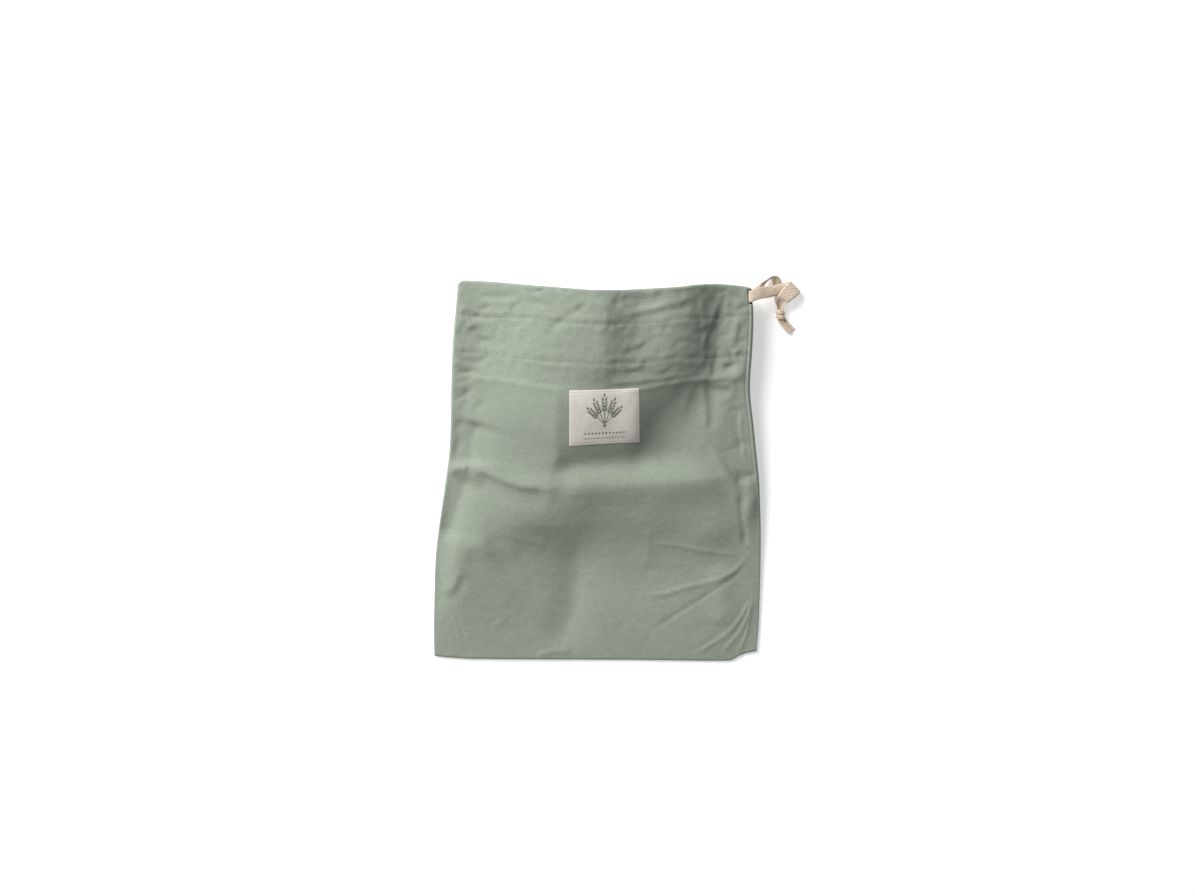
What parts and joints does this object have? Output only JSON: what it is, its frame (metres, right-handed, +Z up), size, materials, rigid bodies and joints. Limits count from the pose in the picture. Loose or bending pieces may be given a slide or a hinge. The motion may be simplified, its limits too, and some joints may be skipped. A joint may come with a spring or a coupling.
{
  "type": "linen bread bag",
  "caption": "Linen drawstring bread bag lying on its back with its mouth held open, a knotted cotton tape in its casing and a small sewn label.",
  "frame": {"origin": "on the surface that the bag lies on, under the middle of the bag cloth's footprint", "axes": "+Y along the bag from the bottom fold to the mouth, +X to the side where the tape leaves, +Z up, away from the surface"},
  "size_m": [0.3376, 0.3543, 0.0559],
  "materials": {
    "linen": "matt plain-woven washed linen, sage green",
    "label_cloth": "matt fine cream cotton",
    "cotton_tape": "matt natural cotton twill tape"
  },
  "bodies": {
    "root": {"bag_body": "linen", "label": "label_cloth", "drawstring_tape": "cotton_tape", "drawstring_knot": "cotton_tape", "tape_tail_a": "cotton_tape", "tape_tail_b": "cotton_tape"}
  },
  "joints": []
}
